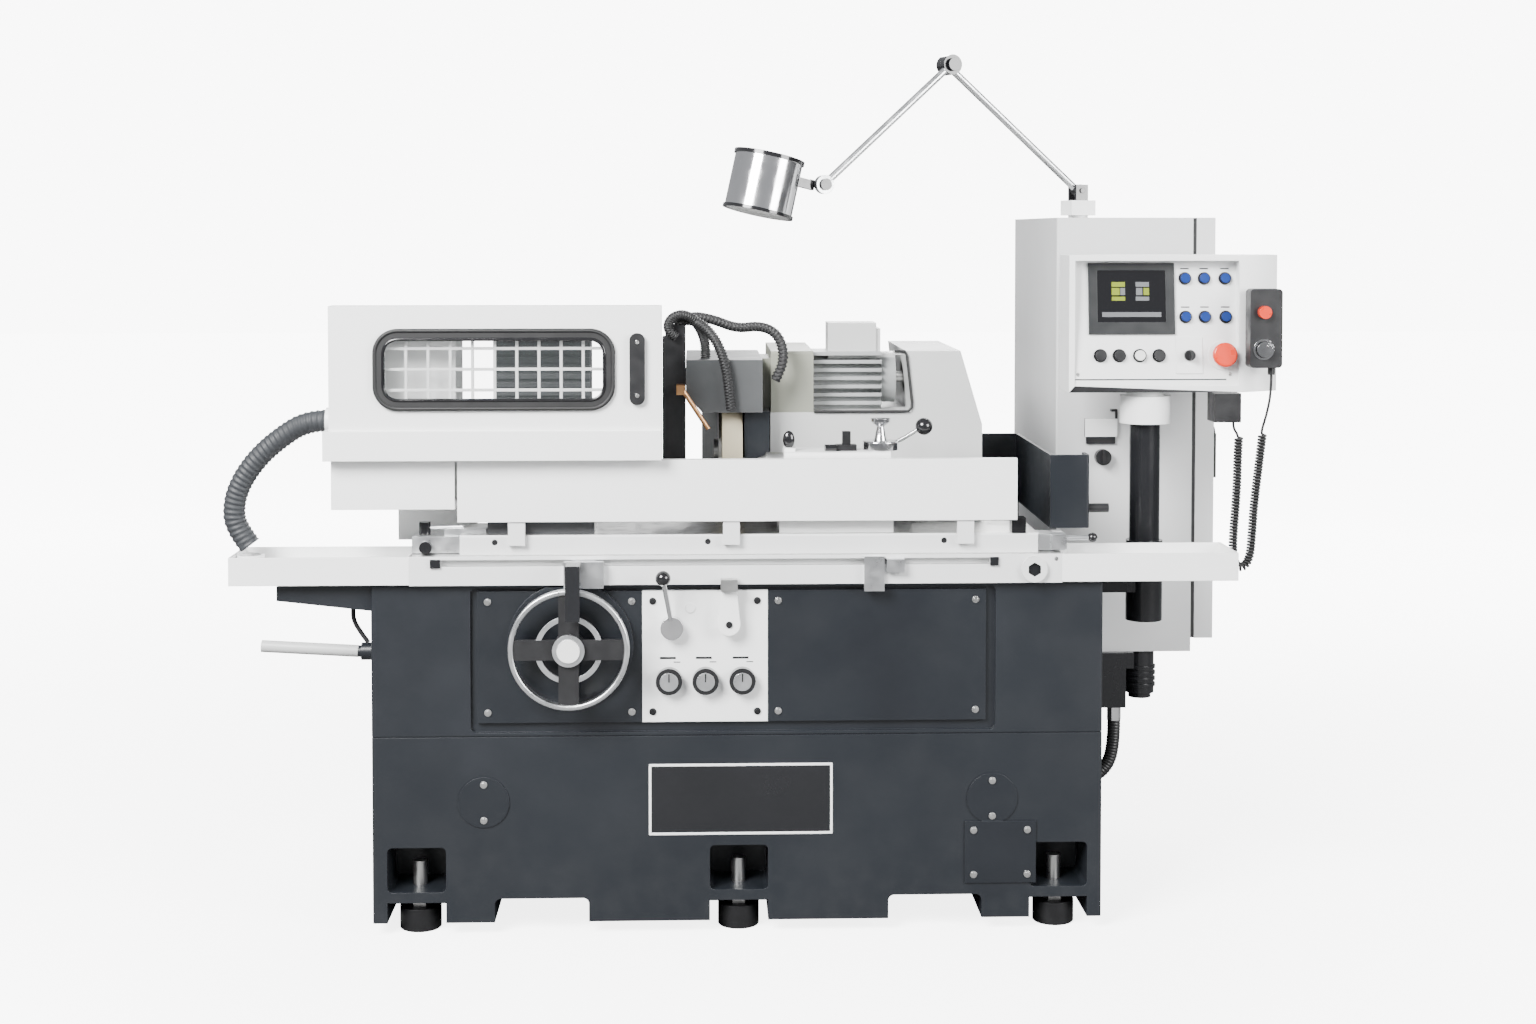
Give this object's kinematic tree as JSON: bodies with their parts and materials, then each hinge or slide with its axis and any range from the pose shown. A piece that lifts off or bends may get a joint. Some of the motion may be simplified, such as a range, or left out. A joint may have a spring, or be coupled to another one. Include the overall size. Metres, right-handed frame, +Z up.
{
  "type": "cylindrical grinder",
  "caption": "Cylindrical grinding machine with dark cast bed, white sliding table and guards, enclosed workhead, wheelhead, side cabinet, operator panel on a post and a jointed work lamp",
  "frame": {"origin": "on the floor, under the middle of the machine's overall footprint", "axes": "+X along the table to the operator's right, +Y to the rear, +Z up"},
  "size_m": [2.6118, 1.427, 2.144],
  "materials": {
    "dark_iron": "dark charcoal paint",
    "white_paint": "semi-gloss",
    "pale_paint": "light grey, semi-gloss",
    "dark_paint": "semi-gloss",
    "black_plastic": "matte",
    "steel": "ground",
    "chrome": "polished",
    "aluminium": "brushed",
    "rubber": "matte",
    "glass": "clear",
    "abrasive": "porous",
    "red_plastic": "gloss",
    "white_plastic": "gloss"
  },
  "bodies": {
    "bed": {"bed_casting": "dark_iron", "levelling_feet": "steel", "bed_covers": "dark_paint", "control_plate": "white_paint", "cover_screws": "steel", "drain_pipe": "pale_paint", "splash_guard": "dark_paint", "cabinet_body": "white_paint", "panel_post": "dark_paint", "hydraulic_unit": "dark_paint", "hydraulic_hose": "rubber"},
    "cabinet_door": {"cabinet_door": "white_paint"},
    "door_latch": {"door_latch": "chrome"},
    "main_switch": {"main_switch": "black_plastic"},
    "table": {"lower_table": "dark_iron", "end_trays": "white_paint", "trip_dogs": "steel"},
    "swivel": {"swivel_table": "dark_iron", "front_guard": "white_paint", "table_clamps": "dark_paint", "left_shroud": "white_paint", "conduit": "rubber", "workhead_body": "dark_iron", "tailstock_body": "dark_iron"},
    "work_spindle": {"work_spindle": "steel"},
    "guard_door": {"sliding_door": "white_paint", "door_window": "glass"},
    "quill": {"tailstock_quill": "steel"},
    "tail_lever": {"tailstock_lever": "steel"},
    "tail_clamp": {"tailstock_clamp": "steel"},
    "wheelhead": {"wheelhead_slide": "dark_iron", "wheelhead_housing": "dark_iron", "wheelhead_cover": "pale_paint", "wheel_guard": "dark_paint", "drive_motor": "aluminium", "coolant_hoses": "rubber", "drive_belt": "rubber"},
    "wheel_spindle": {"wheel_spindle": "steel", "grinding_wheel": "abrasive"},
    "motor_rotor": {"motor_pulley": "steel"},
    "handwheel": {"handwheel": "aluminium"},
    "table_lever": {"table_lever": "steel"},
    "reversing_lever": {"reversing_lever": "white_paint"},
    "speed_knob_1": {"speed_knob_1": "black_plastic"},
    "speed_knob_2": {"speed_knob_2": "black_plastic"},
    "speed_knob_3": {"speed_knob_3": "black_plastic"},
    "panel": {"panel_box": "white_paint", "pendant": "black_plastic", "coil_cord": "rubber"},
    "pendant_dial": {"pendant_dial": "chrome"},
    "emergency_stop": {"emergency_stop": "red_plastic"},
    "key_switch": {"key_switch": "chrome"},
    "push_button_1": {"push_button_1": "black_plastic"},
    "push_button_2": {"push_button_2": "black_plastic"},
    "push_button_3": {"push_button_3": "white_plastic"},
    "push_button_4": {"push_button_4": "black_plastic"},
    "lamp_base": {"lamp_base": "white_paint"},
    "lamp_lower": {"lamp_lower_arm": "aluminium"},
    "lamp_upper": {"lamp_upper_arm": "aluminium"},
    "lamp_head": {"lamp_head": "aluminium"}
  },
  "joints": [
    {"name": "table_traverse", "type": "slide", "parent": "bed", "child": "table", "axis": [1, 0, 0], "range_m": [-0.29, 0.27]},
    {"name": "table_swivel", "type": "hinge", "parent": "table", "child": "swivel", "pos_m": [-0.06911, -0.4915, 0.916], "axis": [0, 0, 1], "range_deg": [-3, 4]},
    {"name": "work_spindle_turn", "type": "hinge", "parent": "swivel", "child": "work_spindle", "pos_m": [-0.41411, -0.5165, 1.125], "axis": [1, 0, 0], "continuous": true},
    {"name": "guard_door_slide", "type": "slide", "parent": "swivel", "child": "guard_door", "axis": [1, 0, 0], "range_m": [0, 0.7]},
    {"name": "quill_slide", "type": "slide", "parent": "swivel", "child": "quill", "axis": [-1, 0, 0], "range_m": [-0.02, 0.02]},
    {"name": "tailstock_lever_turn", "type": "hinge", "parent": "swivel", "child": "tail_lever", "pos_m": [0.27689, -0.5165, 1.165], "axis": [0, 0, 1], "range_deg": [-36, 36]},
    {"name": "tailstock_clamp_turn", "type": "hinge", "parent": "swivel", "child": "tail_clamp", "pos_m": [0.27689, -0.5165, 1.185], "axis": [0, 0, 1], "range_deg": [-90, 90]},
    {"name": "wheelhead_infeed", "type": "slide", "parent": "bed", "child": "wheelhead", "axis": [0, -1, 0], "range_m": [-0.11, 0.025]},
    {"name": "wheel_spindle_turn", "type": "hinge", "parent": "wheelhead", "child": "wheel_spindle", "pos_m": [-0.06911, -0.2165, 1.125], "axis": [1, 0, 0], "continuous": true},
    {"name": "motor_turn", "type": "hinge", "parent": "wheelhead", "child": "motor_rotor", "pos_m": [0.23089, -0.1715, 1.311], "axis": [1, 0, 0], "continuous": true},
    {"name": "handwheel_turn", "type": "hinge", "parent": "bed", "child": "handwheel", "pos_m": [-0.47111, -0.6415, 0.702], "axis": [0, -1, 0], "range_deg": [-2620, 2620]},
    {"name": "table_lever_turn", "type": "hinge", "parent": "bed", "child": "table_lever", "pos_m": [-0.22911, -0.6165, 0.742], "axis": [0, 1, 0], "range_deg": [-20, 20]},
    {"name": "reversing_lever_turn", "type": "hinge", "parent": "bed", "child": "reversing_lever", "pos_m": [-0.09311, -0.6215, 0.752], "axis": [0, 1, 0], "range_deg": [-10, 10]},
    {"name": "speed_knob_1_turn", "type": "hinge", "parent": "bed", "child": "speed_knob_1", "pos_m": [-0.23611, -0.6165, 0.614], "axis": [0, -1, 0], "range_deg": [-135, 135]},
    {"name": "speed_knob_2_turn", "type": "hinge", "parent": "bed", "child": "speed_knob_2", "pos_m": [-0.14911, -0.6165, 0.614], "axis": [0, -1, 0], "range_deg": [-135, 135]},
    {"name": "speed_knob_3_turn", "type": "hinge", "parent": "bed", "child": "speed_knob_3", "pos_m": [-0.06111, -0.6165, 0.614], "axis": [0, -1, 0], "range_deg": [-135, 135]},
    {"name": "cabinet_door_swing", "type": "hinge", "parent": "bed", "child": "cabinet_door", "pos_m": [1.21589, 0.7045, 1.1], "axis": [0, 0, 1], "range_deg": [0, 110]},
    {"name": "door_latch_turn", "type": "hinge", "parent": "cabinet_door", "child": "door_latch", "pos_m": [1.21189, 0.0185, 1.143], "axis": [1, 0, 0], "range_deg": [0, 90]},
    {"name": "main_switch_turn", "type": "hinge", "parent": "bed", "child": "main_switch", "pos_m": [0.91089, -0.0415, 1.086], "axis": [0, -1, 0], "range_deg": [0, 90]},
    {"name": "panel_swivel", "type": "hinge", "parent": "bed", "child": "panel", "pos_m": [0.97589, -0.2715, 1.197], "axis": [0, 0, 1], "range_deg": [-5, 30]},
    {"name": "push_button_1_press", "type": "slide", "parent": "panel", "child": "push_button_1", "axis": [0, 0.9932, -0.1167], "range_m": [0, 0.004], "stiffness_N_per_m": 400},
    {"name": "push_button_2_press", "type": "slide", "parent": "panel", "child": "push_button_2", "axis": [0, 0.9932, -0.1167], "range_m": [0, 0.004], "stiffness_N_per_m": 400},
    {"name": "push_button_3_press", "type": "slide", "parent": "panel", "child": "push_button_3", "axis": [0, 0.9932, -0.1167], "range_m": [0, 0.004], "stiffness_N_per_m": 400},
    {"name": "push_button_4_press", "type": "slide", "parent": "panel", "child": "push_button_4", "axis": [0, 0.9932, -0.1167], "range_m": [0, 0.004], "stiffness_N_per_m": 400},
    {"name": "emergency_stop_press", "type": "slide", "parent": "panel", "child": "emergency_stop", "axis": [0, 0.9932, -0.1167], "range_m": [0, 0.005], "stiffness_N_per_m": 800},
    {"name": "key_switch_turn", "type": "hinge", "parent": "panel", "child": "key_switch", "pos_m": [1.07289, -0.33957, 1.373], "axis": [0, -0.9932, 0.1167], "range_deg": [-45, 45]},
    {"name": "pendant_dial_turn", "type": "hinge", "parent": "panel", "child": "pendant_dial", "pos_m": [1.24189, -0.4155, 1.392], "axis": [0, -1, 0], "continuous": true},
    {"name": "lamp_base_turn", "type": "hinge", "parent": "bed", "child": "lamp_base", "pos_m": [0.84989, -0.0015, 1.723], "axis": [0, 0, 1], "range_deg": [-40, 70]},
    {"name": "lamp_lower_arm_tilt", "type": "hinge", "parent": "lamp_base", "child": "lamp_lower", "pos_m": [0.84989, -0.0015, 1.795], "axis": [-0.3355, 0.9421, 0], "range_deg": [-15, 35]},
    {"name": "lamp_upper_arm_tilt", "type": "hinge", "parent": "lamp_lower", "child": "lamp_upper", "pos_m": [0.48438, -0.13165, 2.118], "axis": [-0.3355, 0.9421, 0], "range_deg": [-12, 50]},
    {"name": "lamp_head_tilt", "type": "hinge", "parent": "lamp_upper", "child": "lamp_head", "pos_m": [0.14806, -0.25141, 1.805], "axis": [-0.3355, 0.9421, 0], "range_deg": [-45, 45]}
  ],
  "couplings": [
    {"joint": "tailstock_lever_turn", "follows": "quill_slide", "rad_per_m": 30.543},
    {"joint": "motor_turn", "follows": "wheel_spindle_turn", "ratio": 1.3},
    {"joint": "handwheel_turn", "follows": "table_traverse", "rad_per_m": 157.08}
  ]
}
